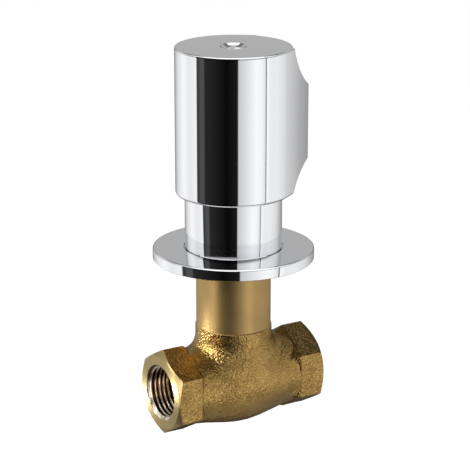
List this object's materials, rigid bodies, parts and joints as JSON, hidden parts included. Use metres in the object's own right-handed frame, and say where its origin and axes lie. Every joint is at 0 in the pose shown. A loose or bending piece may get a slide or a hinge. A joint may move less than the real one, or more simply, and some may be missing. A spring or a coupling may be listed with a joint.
{
  "type": "shut-off valve",
  "caption": "Concealed shut-off valve: brass globe body with hexagon ports, chrome sleeve, sliding wall flange and a round grip handle.",
  "frame": {"origin": "where the pipe line crosses the spindle axis", "axes": "+Z along the spindle, towards the handle; +X along the pipe line, from inlet to outlet"},
  "size_m": [0.0636, 0.06, 0.1446],
  "materials": {
    "cast_brass": "rough cast",
    "turned_brass": "turned",
    "chrome": "polished",
    "steel": "satin",
    "rubber": "matte",
    "fibre": "matte",
    "white_plastic": "satin",
    "foam": "matte"
  },
  "bodies": {
    "valve": {"valve_body": "cast_brass", "bonnet": "turned_brass", "bonnet_gasket": "fibre", "sleeve": "chrome", "sleeve_nut": "turned_brass"},
    "turning_set": {"spindle": "turned_brass", "thrust_washer": "white_plastic", "spindle_o_ring_lower": "rubber", "spindle_o_ring_upper": "rubber", "retaining_clip": "steel", "spindle_extension": "turned_brass", "handle_adapter": "white_plastic", "handle": "chrome", "handle_screw": "steel", "index_cap": "chrome"},
    "plug": {"plug_carrier": "turned_brass", "seat_washer": "rubber", "washer_screw": "steel"},
    "rosette": {"flange": "chrome", "flange_o_ring": "rubber", "flange_seal": "foam"}
  },
  "joints": [
    {"name": "handle_turn", "type": "hinge", "parent": "valve", "child": "turning_set", "pos_m": [0, 0, 0], "axis": [0, 0, 1], "range_deg": [0, 900]},
    {"name": "plug_lift", "type": "slide", "parent": "valve", "child": "plug", "axis": [0, 0, 1], "range_m": [0, 0.0041]},
    {"name": "flange_slide", "type": "slide", "parent": "valve", "child": "rosette", "axis": [0, 0, 1], "range_m": [0, 0.02]}
  ],
  "couplings": [
    {"joint": "plug_lift", "follows": "handle_turn", "m_per_rad": 0.00025465}
  ]
}
